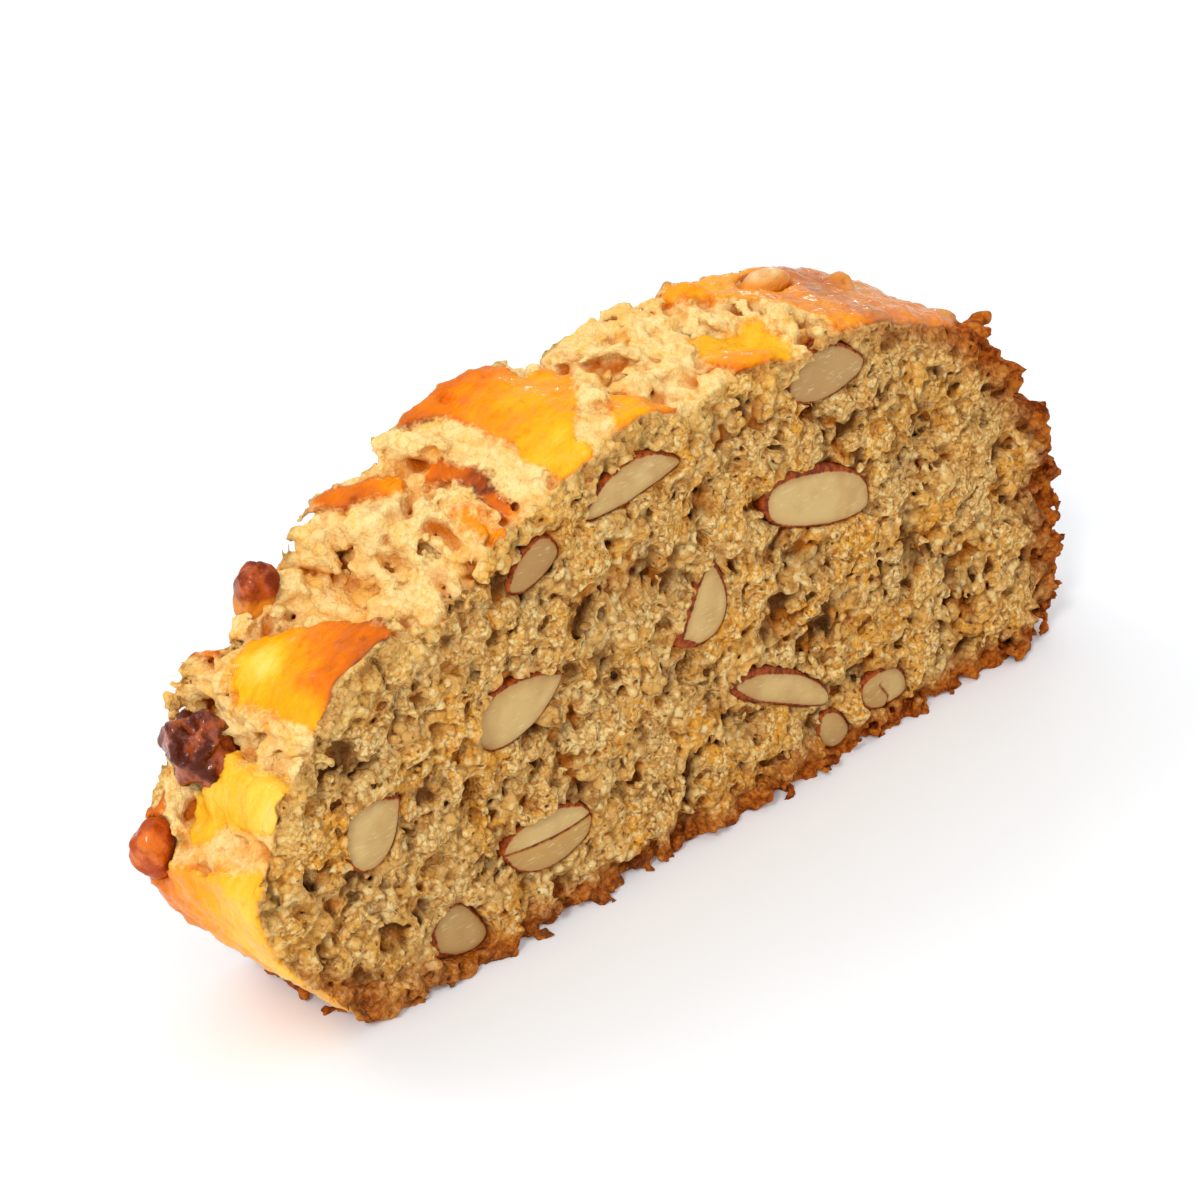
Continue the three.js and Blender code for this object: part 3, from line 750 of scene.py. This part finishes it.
def makeAlmond(nodeName):
    side, number = nodeName.split("_")[1:]
    near = side == "near"
    outward = -1 if near else 1
    low, high = (np.array(v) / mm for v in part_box(nodeName))
    outline = almonds["near"][number] if near else farOutline(*almonds["far"][int(number) - 1])
    curve = closedCurve(outline, 5)
    middle = curve.mean(0)
    sunk = almonds["below"] + almonds["sunk"].get(number if near else "", 0)
    face = (low[1] if near else high[1]) - outward * sunk
    depth = high[1] - low[1] - sunk
    body = bmesh.new()
    rim = [body.verts.new((x * mm, face * mm, z * mm)) for x, z in curve]
    flat = body.faces.new(rim)
    ring = [edge for edge in flat.edges]
    for (share, size), (_, before) in zip(almonds["section"][1:], almonds["section"]):
        made = bmesh.ops.extrude_edge_only(body, edges=ring)["geom"]
        ring = [e for e in made if isinstance(e, bmesh.types.BMEdge)]
        verts = [v for v in made if isinstance(v, bmesh.types.BMVert)]
        for vert in verts:
            vert.co.y = (face - outward * depth * share) * mm
            vert.co.x = (middle[0] + (vert.co.x / mm - middle[0]) * size / before) * mm
            vert.co.z = (middle[1] + (vert.co.z / mm - middle[1]) * size / before) * mm
    ring = [e for e in body.edges if e.is_boundary]
    bmesh.ops.edgeloop_fill(body, edges=ring)
    bmesh.ops.recalc_face_normals(body, faces=body.faces[:])
    addCarver(body, outward, face)
    mesh = bpy.data.meshes.new("nutHelper")
    body.to_mesh(mesh)
    body.free()
    mesh = evened(inScene("nutHelper", mesh), nodeName + "_nut", almonds["voxel"], 2)
    place = meshArray(mesh) / mm
    inward = insideDistance(place[:, [0, 2]], curve)
    onFace = ease(np.abs(place[:, 1] - face), 1.0, 0.5)
    halfHeight = np.ptp(curve[:, 1]) / 2
    up = ease((place[:, 2] - middle[1]) / halfHeight, -0.1, 0.7)
    left = ease((middle[0] - place[:, 0]) / (np.ptp(curve[:, 0]) / 2), -0.1, 0.6)
    skin = almonds["skin"] + np.zeros(len(place))
    split = np.full(len(place), 9.0)
    half = np.zeros(len(place))
    if near:
        skin += almonds["upperSkin"].get(number, 0.05) * up + almonds["leftSkin"].get(number, 0) * left
        if number in almonds["split"]:
            line = np.array(almonds["split"][number])
            split = lineDistance(place[:, [0, 2]], line)
            half = ease(np.interp(place[:, 0], line[:, 0], line[:, 1]) - place[:, 2], -0.2, 0.2)
    else:
        skin += 0.25 * up
    kernel = ease(inward - skin, -0.1, 0.15) * onFace
    bulge = almonds["crown"] * ease(inward, 0, 2) - 0.12 * (1 - kernel) - 0.3 * (1 - ease(split, 0.0, 0.35))
    place[:, 1] += outward * bulge * onFace
    storeVectors(mesh, "nut", (np.where(onFace > 0.5, inward - skin, -1), split, half))
    shade = almonds["shade"].get(number, 0) if near else 0.1 * (int(number) % 4)
    storeVectors(mesh, "kernel", (shade + np.zeros(len(place)), onFace, bulge))
    for polygon in mesh.polygons:
        polygon.use_smooth = True
    setPlaces(mesh, place)
    return inScene(nodeName + "_nut", mesh)


carver = bmesh.new()  # what the crumb leaves free: the nuts, and the room in front of their cut faces


def addCarver(body, outward, face):
    room = body.copy()
    for vert in room.verts:
        if abs(vert.co.y / mm - face) < 0.01:
            vert.co.y += outward * almonds["room"] * mm
    mesh = bpy.data.meshes.new("room")
    room.to_mesh(mesh)
    room.free()
    carver.from_mesh(mesh)
    bpy.data.meshes.remove(mesh)


def lineDistance(points, line):
    start, way = line[:-1], np.diff(line, axis=0)
    share = np.clip(((points[:, None] - start) * way).sum(2) / (way**2).sum(1), 0, 1)
    return np.sqrt(((start + share[..., None] * way - points[:, None])**2).sum(2).min(1))


def almondMaterial():
    material, g, shader = newMaterial("almondKernel")
    p = g.node("ShaderNodeTexCoord", {}, {}, "Object").vector("SCALE", perMetre)
    nut = g.attribute("nut", "Vector")
    inward, split, half = (nut.part(axis) for axis in "XYZ")
    fine = g.noise(p, 0.5, 3.0, 0.6)
    wide = g.noise(p, 3.0, 2.0)
    scratches = g.noise(p.vector("MULTIPLY", (1.0, 1.0, 5.0)), 1.1, 3.0, 0.6)
    kernel = g.mix(wide.step(0.35, 0.7), tint(212, 178, 114), tint(196, 156, 94))
    kernel = g.mix(half * 0.75, kernel, tint(188, 140, 72))
    kernel = g.mix(g.attribute("kernel", "Vector").part("X"), kernel, tint(178, 134, 78))
    kernel = g.mix(scratches.step(0.56, 0.72) * 0.5, kernel, tint(228, 206, 156))
    kernel = g.mix((1 - inward.step(0.0, 0.9)) * 0.4, kernel, tint(176, 130, 74))
    skinColour = g.mix(fine.step(0.35, 0.65), tint(118, 42, 8), tint(172, 80, 20))
    skin = 1 - (inward + (fine - 0.5) * 0.25).step(-0.08, 0.08)
    skin = skin.over(1 - (split + (fine - 0.5) * 0.1).step(0.06, 0.2))
    colour = g.mix(skin, kernel, skinColour)
    height = g.noise(p.vector("MULTIPLY", (1.0, 1.0, 4.0)), 0.5, 3.0, 0.6)
    bump = g.node("ShaderNodeBump", {}, {"Strength": 0.25, "Distance": 0.0002, "Height": height}, "Normal")
    connect(g, shader, {
        "Base Color": colour, "Roughness": 0.5 + skin * 0.15, "Normal": bump, "Subsurface Weight": 0.2,
        "Subsurface Radius": (1.0, 0.7, 0.35), "Subsurface Scale": 0.0015, "Specular IOR Level": 0.2,
    })
    return material


kernelMaterial = almondMaterial()
for nodeName in sorted(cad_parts):
    if nodeName.startswith("almond_near") or nodeName.startswith("almond_far"):
        nut = makeAlmond(nodeName)
        nut.data.materials.append(kernelMaterial)
        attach(nut, "root")
        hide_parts(nodeName)
carverMesh = bpy.data.meshes.new("carver")
bmesh.ops.triangulate(carver, faces=carver.faces[:])
carver.to_mesh(carverMesh)
carver.free()
carverMesh = evened(inScene("carverHelper", carverMesh), "carver", almonds["carverVoxel"])
storeVectors(carverMesh, "carverNormal", meshArray(carverMesh, "normal").T)
nutCarver = inScene("carver", carverMesh)
print("almonds made")


dough = {
    "voxel": 0.25,
    "pieces": 9,
    "endRoom": 3,  # mm that the first and the last piece reach past the solid
    "overlap": 0.6,  # mm that a piece reaches under its neighbour
    "sinking": 0.35,  # mm that it lies deeper there, for each mm
    "endSteepness": 8,  # how sharply a piece is cut off there, and at the table
    "footSteepness": 4,
    "room": 1.2,  # mm of empty volume round a piece
    "coreDepth": 1.7,  # mm below the skin from which nothing is open
    "smallest": 700,  # faces of the smallest loose bit that stays
    "swellSize": 6.5,  # sizes of the shapes in mm
    "lumpSize": 2.6,
    "plateSize": 3.6,
    "plateFlatness": 1.7,
    "fissureSize": 4.4,
    "fissureSharpness": 16,
    "bitSize": 1.05,
    "grainSize": 1.0,
    "clumpSize": 2.0,
    "warpSize": 3.1,
    "warp": 1.6,
    "poreSize": 1.4,
    "poreRadius": 0.5,
    "skinOverPores": 3,  # mm that pores shrink by in whole skin, and in craggy dough
    "doughOverPores": 0.35,
    "nutGap": 0.02,
    "nutCrumbs": 0.8,  # how far crumbs lap over the nuts
    "shavenShare": 0.6,  # what the knife leaves of the crumb's tops
    "shavenTop": 0.1,
    "baseShare": 0.4,  # how much of the rough relief the base and the burnt bands have
    "burntShare": 0.55,
    "heights": {  # mm that each shape gives to each kind of surface
        "crumb": {"wide": 3.4, "lumps": 3.4, "clumps": 1.5, "grains": 1.5, "middle": 0.8, "fissures": -0.7},
        "broken": {
            "plates": 5.4, "lumps": 2.2, "clumps": 1.3, "grains": 0.9, "middle": 0.5, "fissures": -0.6,
        },
        "skin": {"lumps": 1.0, "middle": 0.5, "wide": 0.9},
        "rough": {"wide": 2.0, "lumps": 3.4, "clumps": 2.0, "grains": 0.9},
    },
}


def doughTree(name, low, high):
    # low and high: the piece's own reach in mm along x
    tree = bpy.data.node_groups.new(name, "GeometryNodeTree")
    tree.interface.new_socket("Geometry", in_out="OUTPUT", socket_type="NodeSocketGeometry")
    g = Graph(tree)
    form = g.node("GeometryNodeObjectInfo", {}, {"Object": formObject}, "Geometry")
    nuts = g.node("GeometryNodeObjectInfo", {}, {"Object": nutCarver}, "Geometry")
    spot = g.node("GeometryNodeInputPosition")
    p = spot.vector("SCALE", perMetre)

    def atNearest(geometry, index, value):
        settings = {"data_type": "FLOAT_VECTOR", "domain": "POINT"}
        sockets = {"Geometry": geometry, "Value": value, "Index": index}
        return g.node("GeometryNodeSampleIndex", settings, sockets)

    def named(attribute):
        return g.node("GeometryNodeInputNamedAttribute", {"data_type": "FLOAT_VECTOR"}, {"Name": attribute})

    def signedDistance(geometry, attribute):
        # mm outwards from the plane of the nearest point, and that point's own vector
        nearest = g.node("GeometryNodeSampleNearest", {"domain": "POINT"}, {"Geometry": geometry})
        place = atNearest(geometry, nearest, g.node("GeometryNodeInputPosition"))
        vector = atNearest(geometry, nearest, named(attribute))
        length = vector.vector("LENGTH", None, "Value")
        away = spot.vector("SUBTRACT", place).vector("DOT_PRODUCT", vector, "Value") / length * perMetre
        return away, vector, length

    outside, facing, length = signedDistance(form, "facing")
    depth = outside * -1  # mm below the skin
    cut = (facing.part("Y").maths("ABSOLUTE", facing.part("Y")) / length).step(0.6, 0.85)
    onBase = (facing.part("Z") / length * -1).step(0.6, 0.9)
    craggy = (length - 1).over(0) * (1 - cut)
    burnt = (length - 1).over(0) * cut
    fromNut = signedDistance(nuts, "carverNormal")[0]

    warp = g.noise(p, dough["warpSize"], 1.0, output="Color").vector("SUBTRACT", (0.5, 0.5, 0.5))
    bent = p.vector("ADD", warp.vector("SCALE", dough["warp"]))
    wide = g.noise(p, dough["swellSize"], 1.0, 0.5) - 0.5
    lumps = g.noise(p, dough["lumpSize"], 2.0, 0.6) - 0.5
    middle = g.noise(p, dough["bitSize"], 2.0, 0.6) - 0.5
    flattened = p.vector("MULTIPLY", (1, 1, dough["plateFlatness"]))
    plates = g.noise(flattened, dough["plateSize"], 1.0, 0.5) - 0.5
    grain = g.cells(bent, dough["grainSize"])
    grains = 0.32 - grain * grain
    clump = g.cells(bent, dough["clumpSize"])
    clumps = 0.3 - clump * clump
    pore = g.cells(bent, dough["poreSize"])
    # the radii run down to less than nothing, so that some of the pores stay shut
    poreRadius = pore.out("Color").part("X") * dough["poreRadius"] * 1.6 - dough["poreRadius"] * 0.6
    pores = pore * dough["poreSize"] - poreRadius

    fissure = g.noise(bent, dough["fissureSize"], 1.0) - 0.5
    fissures = (1 - fissure.maths("ABSOLUTE", fissure) * dough["fissureSharpness"]).over(0)

    shapes = {
        "wide": wide, "lumps": lumps, "middle": middle, "plates": plates, "grains": grains, "clumps": clumps,
        "fissures": fissures,
    }

    def heaped(kind):  # the shapes added up, each by its own height
        heights = dough["heights"][kind]
        total = 0
        for shape, height in heights.items():
            total = shapes[shape] * height + total
        return total

    ragged = heaped("crumb")
    crumb = ragged.under(ragged * dough["shavenShare"] + dough["shavenTop"])  # the knife took the tops
    rough = heaped("rough")
    torn = cut.over(craggy)
    relief = crumb * cut * cut + heaped("broken") * craggy * (1 - onBase)
    relief = relief + rough * onBase * (1 - cut) * dough["baseShare"]
    relief = relief + heaped("skin") * (1 - torn) + rough * burnt * dough["burntShare"]
    body = depth + relief
    holed = body.under(pores + (1 - torn) * dough["skinOverPores"] + craggy * dough["doughOverPores"])
    holed = holed.under(fromNut - dough["nutGap"] + middle * dough["nutCrumbs"])
    solid = holed.over(depth - dough["coreDepth"])
    along = p.part("X")
    overlap = dough["overlap"]
    ends = (along - (low - overlap)).under((high + overlap) - along) * dough["endSteepness"]
    sinking = (along - high).over(low - along).over(0) * dough["sinking"]
    solid = (solid - sinking).under(ends).under(p.part("Z") * dough["footSteepness"])

    cadLow, cadHigh = (np.array(v) / mm for v in cadBox)
    cell = dough["voxel"]
    room = dough["room"]
    lowCorner = np.floor((np.array([low - overlap, cadLow[1], cadLow[2]]) - room) / cell) * cell
    highCorner = np.ceil((np.array([high + overlap, cadHigh[1], cadHigh[2]]) + room) / cell) * cell
    counts = np.round((highCorner - lowCorner) / cell).astype(int)
    sockets = {"Density": solid, "Background": -1.0}
    sockets.update({"Min": tuple(lowCorner * mm), "Max": tuple(highCorner * mm)})
    sockets.update({"Resolution " + axis: int(n) for axis, n in zip("XYZ", counts)})
    volume = g.node("GeometryNodeVolumeCube", {}, sockets)
    mesh = g.node("GeometryNodeVolumeToMesh", {}, {"Volume": volume, "Threshold": 0.0})

    island = g.node("GeometryNodeInputMeshIsland", {}, {}, "Island Index")
    sockets = {"Value": 1.0, "Group ID": island}
    total = g.node("GeometryNodeAccumulateField", {"domain": "FACE"}, sockets, "Total")
    sockets = {"A": total, "B": float(dough["smallest"])}
    small = g.node("FunctionNodeCompare", {"operation": "LESS_THAN"}, sockets)
    settings = {"domain": "FACE", "mode": "ALL"}
    mesh = g.node("GeometryNodeDeleteGeometry", settings, {"Geometry": mesh, "Selection": small})
    for attribute in ("site", "finish", "depth"):
        kind = "FLOAT_VECTOR"
        value = depth
        if attribute == "depth":
            kind = "FLOAT"
        else:
            sockets = {"Mesh": form, "Value": named(attribute), "Sample Position": spot}
            value = g.node("GeometryNodeSampleNearestSurface", {"data_type": kind}, sockets, "Value")
        sockets = {"Geometry": mesh, "Name": attribute, "Value": value}
        mesh = g.node("GeometryNodeStoreNamedAttribute", {"data_type": kind, "domain": "POINT"}, sockets)
    mesh = g.node("GeometryNodeSetShadeSmooth", {}, {"Geometry": mesh})
    out = tree.nodes.new("NodeGroupOutput")
    tree.links.new(mesh.socket, out.inputs[0])
    return tree


def makeDough():
    made = []
    edges = np.linspace(cadBox[0][0] / mm, cadBox[1][0] / mm, dough["pieces"] + 1)
    edges[0] -= dough["endRoom"]
    edges[-1] += dough["endRoom"]
    for index, (low, high) in enumerate(zip(edges[:-1], edges[1:])):
        name = "biscuit_part_%d" % (index + 1)
        helper = inScene("doughHelper", bpy.data.meshes.new("doughHelper"))
        tree = doughTree(name, low, high)
        helper.modifiers.new("dough", "NODES").node_group = tree
        mesh = finished(helper, name)
        mesh.materials.clear()
        bpy.data.node_groups.remove(tree)
        piece = inScene(name, mesh)
        triangles = sum(len(face.vertices) - 2 for face in mesh.polygons)
        print(name, triangles, "triangles")
        made.append(piece)
    return made


doughPieces = makeDough()


bakedColours = {
    "crumbKhaki": tint(222, 172, 96),
    "crumbGold": tint(234, 164, 56),
    # a pale crumb colour, used for pale patches and for a painted highlight on the tops of the grains
    "crumbPaleAndHighlight": tint(248, 222, 156),
    "crumbGrey": tint(208, 166, 108),
    # painted shade: the dark colour laid into the creases between the grains
    "creaseShade": tint(148, 80, 8),
    # painted shade: dark brown and warm amber for the recesses of the crumb
    "pitShade": tint(98, 48, 6),
    "pitAmberShade": tint(184, 102, 12),
    "doughCream": tint(255, 226, 154),
    "doughPeach": tint(251, 198, 112),
    "doughYolk": tint(252, 198, 84),
    # painted shade in the creases of the bare dough
    "doughCreaseShade": tint(230, 146, 44),
    # painted shade in the recesses of the bare dough
    "doughDeepShade": tint(204, 110, 16),
    "bandGold": tint(208, 124, 38),
    "bandBrown": tint(162, 76, 12),
    "bandDark": tint(90, 34, 4),
    "rimCream": tint(248, 202, 112),
    "caramel": tint(230, 154, 66),
    # painted shade: the dark inside of the pinholes
    "pinholeShade": tint(104, 52, 6),
}
glazeStops = [
    (0.0, tint(251, 216, 132)), (0.18, tint(251, 204, 72)), (0.34, tint(250, 180, 18)),
    (0.48, tint(248, 154, 4)), (0.62, tint(238, 122, 2)), (0.76, tint(206, 96, 6)),
    (0.88, tint(150, 62, 6)), (1.0, tint(90, 34, 4)),
]
patternSizes = {  # mm
    "wide": 6.0,
    "middle": 2.2,
    "fine": 0.55,
    "shake": 0.5,
    "coarseGrain": 0.78,
    "smallGrain": 0.44,
    "grainChange": 4.5,
    "pinholes": 0.85,
    "grey": 4.1,
    "pits": 3.0,
    "streaks": 1.9,
    "bubbles": 1.7,
    "powder": 0.25,
    "wrinkles": 1.5,
}


def bakedMaterial():
    material, g, shader = newMaterial("bakedDough")
    c = bakedColours
    size = patternSizes
    p = g.node("ShaderNodeTexCoord", {}, {}, "Object").vector("SCALE", perMetre)
    site = g.attribute("site", "Vector")
    finish = g.attribute("finish", "Vector")
    depth = g.attribute("depth")
    rim, band, cut = (site.part(axis) for axis in "XYZ")
    glaze, tone, brown = (finish.part(axis) for axis in "XYZ")
    wide = g.noise(p, size["wide"], 3.0, 0.55)
    middle = g.noise(p, size["middle"], 3.0, 0.6)
    fine = g.noise(p, size["fine"], 3.0, 0.6)
    shake = g.noise(p, size["shake"], 1.0, output="Color").vector("SUBTRACT", (0.5, 0.5, 0.5))
    shaken = shake.vector("SCALE", 0.55)
    coarse = g.cells(p.vector("ADD", shaken), size["coarseGrain"])
    small = g.cells(p.vector("ADD", shaken), size["smallGrain"])
    often = g.noise(p, size["grainChange"], 2.0).step(0.44, 0.56)
    grain = coarse + (small - coarse) * often
    grainTone = coarse.out("Color").part("X") * (1 - often) + small.out("Color").part("X") * often
    # painted shade: a mask of the creases between the grains, where the bump sinks and the colours darken
    creaseShade = grain.step(0.42, 0.85)
    hole = g.cells(p.vector("ADD", shaken.vector("SCALE", 1.3)), size["pinholes"])
    # painted shade: dark dots where the pinholes open on the cut face
    holes = (1 - hole.step(0.08, 0.34)) * hole.out("Color").part("Y").step(0.35, 0.5) * cut

    crumb = g.mix((wide * 0.7 + middle * 0.3).step(0.42, 0.62), c["crumbKhaki"], c["crumbGold"])
    crumb = g.mix((middle * 0.4 + fine * 0.6).step(0.48, 0.68), crumb, c["crumbPaleAndHighlight"])
    crumb = g.mix(g.noise(p, size["grey"], 2.0).step(0.58, 0.72) * 0.5, crumb, c["crumbGrey"])
    # painted shade for the recesses, dark brown and warm amber in patches
    hollowShade = g.mix(g.noise(p, size["pits"], 1.0).step(0.45, 0.6), c["pitShade"], c["pitAmberShade"])
    # painted highlight: the tops of the grains are lighter, with a random tone for each grain
    crumb = g.mix((grainTone - grain * 0.6).step(0.3, 0.8) * 0.75, crumb, c["crumbPaleAndHighlight"])
    # painted shade in the creases between the grains
    crumb = g.mix(creaseShade * 0.56, crumb, c["creaseShade"])
    # painted shade in the pinholes
    crumb = g.mix(holes * 0.8, crumb, c["pinholeShade"])
    # painted shade: the deeper below the skin, the more of the dark recess colour
    crumb = g.mix((depth + (fine - 0.5) * 0.5).step(0.05, 1.15) * 0.92, crumb, hollowShade)

    bandColour = g.ramp((middle * 0.6 + fine * 0.4).step(0.3, 0.7),
                        [(0.0, c["bandDark"]), (0.4, c["bandBrown"]), (1.0, c["bandGold"])])
    reach = 1 - ((rim + (wide - 0.5) * 3.0 + (middle - 0.5) * 2.4) / (band + 0.01)).step(0.3, 1.15)
    bandMask = reach * (brown + 0.1).under(1)
    pale = (1 - (rim + (wide - 0.5) * 3.0).step(0.4, 4.2)) * (1 - brown.step(0.25, 0.5))
    # the pale rim colour thins in the painted crease shade
    crumb = g.mix(pale * (0.5 - creaseShade * 0.3), crumb, c["rimCream"])
    crumb = g.mix(bandMask, crumb, bandColour)

    bare = g.mix((wide * 0.5 + middle * 0.5).step(0.42, 0.62), c["doughCream"], c["doughPeach"])
    bare = g.mix((middle * 0.5 + fine * 0.5).step(0.5, 0.68) * 0.65, bare, c["doughYolk"])
    # painted shade in the creases of the bare dough
    bare = g.mix(creaseShade * 0.34, bare, c["doughCreaseShade"])
    # painted shade: the bare dough darkens to orange-brown the deeper it lies below the skin
    bare = g.mix((depth + (fine - 0.5) * 0.6).step(0.1, 1.3), bare, c["doughDeepShade"])
    bare = g.mix((brown + (middle - 0.5) * 0.5).step(0.3, 0.8), bare, bandColour)
    streaks = g.noise(p.vector("MULTIPLY", (0.9, 2.4, 0.9)), size["streaks"], 3.0, 0.6) - 0.5
    toneHere = tone + (wide - 0.5) * 0.3 + (middle - 0.5) * 0.24 + streaks * 0.26
    bubble = 1 - g.cells(p.vector("ADD", shaken), size["bubbles"]).step(0.1, 0.24)
    plateEdge = 1 - glaze.step(0.0, 0.8)
    toneHere = toneHere + bubble * 0.07 + cut.step(0.0, 0.5) * 0.22 + plateEdge * (middle - 0.42) * 0.7
    glazed = g.ramp(toneHere, glazeStops)
    glazed = g.mix(brown.step(0.25, 0.55) * (wide.step(0.4, 0.58) * 0.5 + 0.3), glazed, c["caramel"])
    reachOfGlaze = glaze + (fine - 0.5) * 1.2 + (middle - 0.5) * 0.9
    glazeMask = (1 - cut.step(0.25, 0.85)) * reachOfGlaze.step(-0.3, 0.6)
    crust = g.mix(glazeMask, bare, glazed)
    colour = g.mix(cut.step(0.0, 1.0) * (1 - glazeMask), crust, crumb)

    gloss = glazeMask * (1 - cut.step(0.3, 0.8))
    roughness = 0.8 - gloss * 0.42 + (fine - 0.5) * 0.2
    wet = gloss * (brown + (wide - 0.5) * 0.3).step(0.3, 0.5)
    coat = gloss * (middle + fine - 0.5).step(0.42, 0.7) * 0.4 + wet * 0.25
    smooth = glaze.step(0.2, 0.8) * (1 - cut.step(0.3, 0.8))  # the gloss in short, for the bump
    domes = (grain * grain * 1.3 - grainTone * 0.4) * (1.1 - often * 0.45) * (0.45 + cut * 0.55)
    height = (g.noise(p, size["powder"], 2.0, 0.65) * 0.8 - domes) * (1 - smooth)
    wrinkles = g.noise(p.vector("MULTIPLY", (1.0, 2.0, 1.0)), size["wrinkles"], 3.0, 0.6)
    height = height + wrinkles * smooth * 1.5
    bump = g.node("ShaderNodeBump", {}, {"Strength": 0.9, "Distance": 0.0003, "Height": height}, "Normal")
    connect(g, shader, {
        "Base Color": colour, "Roughness": roughness, "Coat Weight": coat, "Normal": bump,
        "Coat Roughness": 0.12, "Specular IOR Level": 0.1,
    })
    return material


baked = bakedMaterial()
for piece in doughPieces:
    piece.data.materials.append(baked)
    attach(piece, "root")
    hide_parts("biscuit")
print("baked material made")


toasted = {
    "voxel": 0.25,
    "ridges": 0.3,  # ridges and folds for each mm
    "folds": 0.62,
    "lift": 0.55,
    "ridgeDepth": 1.5,
    "foldDepth": 0.9,
    # how craggy each is, in mm, its dark and light colour, the colour of its edge, its gloss
    "nuts": {
        "toasted_nut_dark": (1.5, tint(84, 26, 4), tint(180, 80, 24), tint(180, 80, 24), 0.9),
        "toasted_nut_tip": (0.9, tint(126, 40, 8), tint(196, 88, 24), tint(228, 140, 36), 0.3),
        "toasted_nut_glazed": (0.4, tint(180, 70, 6), tint(226, 112, 12), tint(226, 112, 12), 0.4),
        "almond_top": (0.1, tint(232, 172, 96), tint(246, 206, 134), tint(232, 138, 22), 0.5),
    },
}


def makeToasted(nodeName, crag):
    mesh = evened(inScene("nutHelper", mergedCopy(nodeName)), nodeName + "_nut", toasted["voxel"], 3)
    place = meshArray(mesh) / mm
    normal = meshArray(mesh, "normal")
    ridges = np.array([abs(noise.noise(Vector(p) * toasted["ridges"])) for p in place])
    folds = np.array([abs(noise.noise(Vector(p) * toasted["folds"] + Vector((9, 4, 2)))) for p in place])
    lift = toasted["lift"] - toasted["ridgeDepth"] * ridges - toasted["foldDepth"] * folds
    place += normal * (np.clip(lift, -1, 1) * crag)[:, None]
    for polygon in mesh.polygons:
        polygon.use_smooth = True
    setPlaces(mesh, place)
    return inScene(nodeName + "_nut", mesh)


def toastedMaterial(nodeName, dark, light, edge, gloss):
    material, g, shader = newMaterial(nodeName + "_skin")
    p = g.node("ShaderNodeTexCoord", {}, {}, "Object").vector("SCALE", perMetre)
    middle = g.noise(p, 1.8, 3.0, 0.6)
    colour = g.mix(middle.step(0.4, 0.65), dark, light)
    low, high = (np.array(v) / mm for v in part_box(nodeName))
    if nodeName == "toasted_nut_tip":  # browned at its top
        share = (p.part("Z") - float(low[2])) * float(1 / (high[2] - low[2]))
        colour = g.mix((share + (middle - 0.5) * 0.5).step(0.6, 0.4), colour, edge)
    if nodeName == "almond_top":  # pale in the middle, under the glaze round it
        centre = tuple(float(v) for v in (low + high) / 2)
        shares = (float(2 / (high[0] - low[0])), float(2 / (high[1] - low[1])), 0)
        away = p.vector("SUBTRACT", centre).vector("MULTIPLY", shares).vector("LENGTH", None, "Value")
        colour = g.mix((away + (middle - 0.5) * 0.5).step(0.45, 0.9), colour, edge)
    height = g.noise(p, 0.5, 3.0, 0.6)
    bump = g.node("ShaderNodeBump", {}, {"Strength": 0.8, "Distance": 0.0003, "Height": height}, "Normal")
    connect(g, shader, {
        "Base Color": colour, "Roughness": 0.42 - middle.step(0.4, 0.6) * 0.1, "Normal": bump,
        "Coat Weight": middle.step(0.3, 0.6) * gloss, "Coat Roughness": 0.12, "Specular IOR Level": 0.15,
        "Subsurface Weight": 0.1, "Subsurface Radius": (1.0, 0.4, 0.2), "Subsurface Scale": 0.001,
    })
    return material


for nodeName, (crag, dark, light, edge, gloss) in toasted["nuts"].items():
    nut = makeToasted(nodeName, crag)
    nut.data.materials.append(toastedMaterial(nodeName, dark, light, edge, gloss))
    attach(nut, "root")
    "almond" if nodeName == "almond_top" else "toasted_nut"
    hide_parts(nodeName)
print("toasted nuts made")

bpy.data.objects.remove(formObject)
bpy.data.objects.remove(nutCarver)
